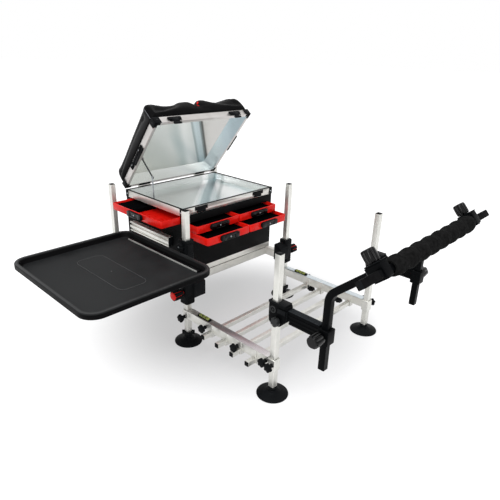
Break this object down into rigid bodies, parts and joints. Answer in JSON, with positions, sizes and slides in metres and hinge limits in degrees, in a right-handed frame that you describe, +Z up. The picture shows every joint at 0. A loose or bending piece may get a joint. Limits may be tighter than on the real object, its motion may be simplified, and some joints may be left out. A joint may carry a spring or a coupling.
{
  "type": "match fishing seat box",
  "caption": "Match angling seat box with hinged padded lid, pull-out drawers, adjustable legs, bar footplate, side tray and bump bar with a rippled foam roll.",
  "frame": {"origin": "centre of the bounding box at ground level, where the feet stand", "axes": "+Z up; -Y is the way the seated angler faces, with the footplate and the bump bar on that side; +X is at the angler's left hand and -X, with the side tray, at the right hand"},
  "size_m": [1.074, 1.2126, 0.7897],
  "materials": {
    "aluminium": "satin anodised",
    "zinc": "bright zinc plated",
    "black_plastic": "fine moulded texture",
    "black_panel": "smooth black laminate",
    "black_metal": "black anodised, satin",
    "red_plastic": "glossy red",
    "bright_sheet": "bright mirror-like sheet",
    "rubber_seal": "matt black",
    "foam": "closed-cell foam, matt black",
    "seat_leather": "black grained upholstery"
  },
  "bodies": {
    "box": {"frame_rail_front": "aluminium", "frame_rail_rear": "aluminium", "frame_rail_left": "aluminium", "frame_rail_right": "aluminium", "cabinet_core": "black_panel", "cabinet_front": "black_panel", "top_tub": "bright_sheet", "rim_frame": "aluminium", "rim_seal": "rubber_seal", "accessory_rail": "aluminium", "leg_bracket_front_left": "black_plastic", "leg_bracket_front_right": "black_plastic", "leg_bracket_rear_left": "black_plastic", "leg_bracket_rear_right": "black_plastic"},
    "lid": {"lid_shell": "aluminium", "seat_pad": "seat_leather"},
    "latch_left": {"lid_latch_left": "black_plastic"},
    "latch_right": {"lid_latch_right": "black_plastic"},
    "stay_lower": {"stay_lower": "zinc"},
    "stay_upper": {"stay_upper": "zinc"},
    "drawer_upper_left": {"drawer_upper_left": "red_plastic"},
    "drawer_pull_upper_left": {"drawer_pull_upper_left": "black_plastic"},
    "drawer_upper_right": {"drawer_upper_right": "red_plastic"},
    "drawer_pull_upper_right": {"drawer_pull_upper_right": "black_plastic"},
    "drawer_lower_left": {"drawer_lower_left": "red_plastic"},
    "drawer_pull_lower_left": {"drawer_pull_lower_left": "black_plastic"},
    "drawer_lower_right": {"drawer_lower_right": "red_plastic"},
    "drawer_pull_lower_right": {"drawer_pull_lower_right": "black_plastic"},
    "drawer_side": {"drawer_side": "red_plastic"},
    "drawer_pull_side": {"drawer_pull_side": "black_plastic"},
    "bracket_knob_front_left": {"bracket_knob_front_left": "red_plastic"},
    "leg_box_front_left": {"leg_box_front_left": "aluminium"},
    "foot_box_front_left": {"foot_box_front_left": "black_plastic"},
    "bracket_knob_front_right": {"bracket_knob_front_right": "red_plastic"},
    "leg_box_front_right": {"leg_box_front_right": "aluminium"},
    "foot_box_front_right": {"foot_box_front_right": "black_plastic"},
    "bracket_knob_rear_left": {"bracket_knob_rear_left": "red_plastic"},
    "leg_box_rear_left": {"leg_box_rear_left": "aluminium"},
    "foot_box_rear_left": {"foot_box_rear_left": "black_plastic"},
    "bracket_knob_rear_right": {"bracket_knob_rear_right": "red_plastic"},
    "leg_box_rear_right": {"leg_box_rear_right": "aluminium"},
    "foot_box_rear_right": {"foot_box_rear_right": "black_plastic"},
    "footplate": {"plate_rail_left": "aluminium", "plate_rail_right": "aluminium", "cross_bar_1": "aluminium", "cross_bar_2": "aluminium", "cross_bar_3": "aluminium", "cross_bar_4": "aluminium"},
    "leg_plate_left": {"leg_plate_left": "aluminium"},
    "foot_plate_left": {"foot_plate_left": "black_plastic"},
    "leg_plate_right": {"leg_plate_right": "aluminium"},
    "foot_plate_right": {"foot_plate_right": "black_plastic"},
    "bump_arms": {"bump_arm_left": "black_metal", "bump_arm_right": "black_metal"},
    "bump_uprights": {"bump_upright_left": "black_metal", "bump_upright_right": "black_metal"},
    "roll": {"roll_bar": "black_metal", "ripple_foam": "foam"},
    "tray": {"side_tray": "black_plastic", "tray_clamp": "black_plastic"}
  },
  "joints": [
    {"name": "lid_hinge", "type": "hinge", "parent": "box", "child": "lid", "pos_m": [0.175, 0.52172, 0.4688], "axis": [-1, 0, 0], "range_deg": [-51, 0]},
    {"name": "latch_left_hinge", "type": "hinge", "parent": "lid", "child": "latch_left", "pos_m": [0.032, 0.31506, 0.74705], "axis": [-1, 0, 0], "range_deg": [0, 100]},
    {"name": "latch_right_hinge", "type": "hinge", "parent": "lid", "child": "latch_right", "pos_m": [0.318, 0.31506, 0.74705], "axis": [-1, 0, 0], "range_deg": [0, 100]},
    {"name": "stay_lower_hinge", "type": "hinge", "parent": "box", "child": "stay_lower", "pos_m": [-0.031, 0.36492, 0.455], "axis": [1, 0, 0], "range_deg": [-2, 85.6]},
    {"name": "stay_upper_hinge", "type": "hinge", "parent": "lid", "child": "stay_upper", "pos_m": [-0.0287, 0.42977, 0.59507], "axis": [1, 0, 0], "range_deg": [-91.12, 2]},
    {"name": "drawer_upper_left_slide", "type": "slide", "parent": "box", "child": "drawer_upper_left", "axis": [0, -1, 0], "range_m": [-0.0484, 0.12]},
    {"name": "drawer_pull_upper_left_press", "type": "slide", "parent": "drawer_upper_left", "child": "drawer_pull_upper_left", "axis": [0, 1, 0], "range_m": [0, 0.002], "stiffness_N_per_m": 300, "springref_m": -0.001},
    {"name": "drawer_upper_right_slide", "type": "slide", "parent": "box", "child": "drawer_upper_right", "axis": [0, -1, 0], "range_m": [-0.0484, 0.12]},
    {"name": "drawer_pull_upper_right_press", "type": "slide", "parent": "drawer_upper_right", "child": "drawer_pull_upper_right", "axis": [0, 1, 0], "range_m": [0, 0.002], "stiffness_N_per_m": 300, "springref_m": -0.001},
    {"name": "drawer_lower_left_slide", "type": "slide", "parent": "box", "child": "drawer_lower_left", "axis": [0, -1, 0], "range_m": [-0.1004, 0.07]},
    {"name": "drawer_pull_lower_left_press", "type": "slide", "parent": "drawer_lower_left", "child": "drawer_pull_lower_left", "axis": [0, 1, 0], "range_m": [0, 0.002], "stiffness_N_per_m": 300, "springref_m": -0.001},
    {"name": "drawer_lower_right_slide", "type": "slide", "parent": "box", "child": "drawer_lower_right", "axis": [0, -1, 0], "range_m": [-0.1004, 0.07]},
    {"name": "drawer_pull_lower_right_press", "type": "slide", "parent": "drawer_lower_right", "child": "drawer_pull_lower_right", "axis": [0, 1, 0], "range_m": [0, 0.002], "stiffness_N_per_m": 300, "springref_m": -0.001},
    {"name": "drawer_side_slide", "type": "slide", "parent": "box", "child": "drawer_side", "axis": [-1, 0, 0], "range_m": [-0.08, 0.1]},
    {"name": "drawer_pull_side_press", "type": "slide", "parent": "drawer_side", "child": "drawer_pull_side", "axis": [1, 0, 0], "range_m": [0, 0.002], "stiffness_N_per_m": 300, "springref_m": -0.001},
    {"name": "bracket_knob_front_left_turn", "type": "hinge", "parent": "box", "child": "bracket_knob_front_left", "pos_m": [-0.0853, 0.11982, 0.2], "axis": [-1, 0, 0], "continuous": true},
    {"name": "leg_box_front_left_slide", "type": "slide", "parent": "box", "child": "leg_box_front_left", "axis": [0, 0, 1], "range_m": [-0.09, 0.025]},
    {"name": "foot_box_front_left_swivel", "type": "hinge", "parent": "leg_box_front_left", "child": "foot_box_front_left", "pos_m": [-0.0853, 0.11982, 0], "axis": [0, 0, 1], "continuous": true},
    {"name": "bracket_knob_front_right_turn", "type": "hinge", "parent": "box", "child": "bracket_knob_front_right", "pos_m": [0.4353, 0.11982, 0.2], "axis": [1, 0, 0], "continuous": true},
    {"name": "leg_box_front_right_slide", "type": "slide", "parent": "box", "child": "leg_box_front_right", "axis": [0, 0, 1], "range_m": [-0.09, 0.025]},
    {"name": "foot_box_front_right_swivel", "type": "hinge", "parent": "leg_box_front_right", "child": "foot_box_front_right", "pos_m": [0.4353, 0.11982, 0], "axis": [0, 0, 1], "continuous": true},
    {"name": "bracket_knob_rear_left_turn", "type": "hinge", "parent": "box", "child": "bracket_knob_rear_left", "pos_m": [-0.0853, 0.55732, 0.2], "axis": [-1, 0, 0], "continuous": true},
    {"name": "leg_box_rear_left_slide", "type": "slide", "parent": "box", "child": "leg_box_rear_left", "axis": [0, 0, 1], "range_m": [-0.2, 0.09]},
    {"name": "foot_box_rear_left_swivel", "type": "hinge", "parent": "leg_box_rear_left", "child": "foot_box_rear_left", "pos_m": [-0.0853, 0.55732, 0], "axis": [0, 0, 1], "continuous": true},
    {"name": "bracket_knob_rear_right_turn", "type": "hinge", "parent": "box", "child": "bracket_knob_rear_right", "pos_m": [0.4353, 0.55732, 0.2], "axis": [1, 0, 0], "continuous": true},
    {"name": "leg_box_rear_right_slide", "type": "slide", "parent": "box", "child": "leg_box_rear_right", "axis": [0, 0, 1], "range_m": [-0.2, 0.09]},
    {"name": "foot_box_rear_right_swivel", "type": "hinge", "parent": "leg_box_rear_right", "child": "foot_box_rear_right", "pos_m": [0.4353, 0.55732, 0], "axis": [0, 0, 1], "continuous": true},
    {"name": "footplate_slide", "type": "slide", "parent": "box", "child": "footplate", "axis": [0, 0, 1], "range_m": [-0.02, 0.02]},
    {"name": "leg_plate_left_slide", "type": "slide", "parent": "footplate", "child": "leg_plate_left", "axis": [0, 0, 1], "range_m": [-0.14, 0.05]},
    {"name": "foot_plate_left_swivel", "type": "hinge", "parent": "leg_plate_left", "child": "foot_plate_left", "pos_m": [-0.0853, -0.27878, 0], "axis": [0, 0, 1], "continuous": true},
    {"name": "leg_plate_right_slide", "type": "slide", "parent": "footplate", "child": "leg_plate_right", "axis": [0, 0, 1], "range_m": [-0.14, 0.05]},
    {"name": "foot_plate_right_swivel", "type": "hinge", "parent": "leg_plate_right", "child": "foot_plate_right", "pos_m": [0.4353, -0.27878, 0], "axis": [0, 0, 1], "continuous": true},
    {"name": "bump_arms_slide", "type": "slide", "parent": "footplate", "child": "bump_arms", "axis": [0, 0, 1], "range_m": [-0.11, 0.12]},
    {"name": "bump_uprights_slide", "type": "slide", "parent": "bump_arms", "child": "bump_uprights", "axis": [0, 0, 1], "range_m": [-0.06, 0.07]},
    {"name": "roll_slide", "type": "slide", "parent": "bump_uprights", "child": "roll", "axis": [1, 0, 0], "range_m": [-0.012, 0.012]},
    {"name": "tray_slide", "type": "slide", "parent": "box", "child": "tray", "axis": [0, 0, 1], "range_m": [-0.04, 0.055]}
  ],
  "couplings": [
    {"joint": "stay_lower_hinge", "follows": "lid_hinge", "ratio": -1.6391},
    {"joint": "stay_upper_hinge", "follows": "lid_hinge", "ratio": 1.7474}
  ]
}
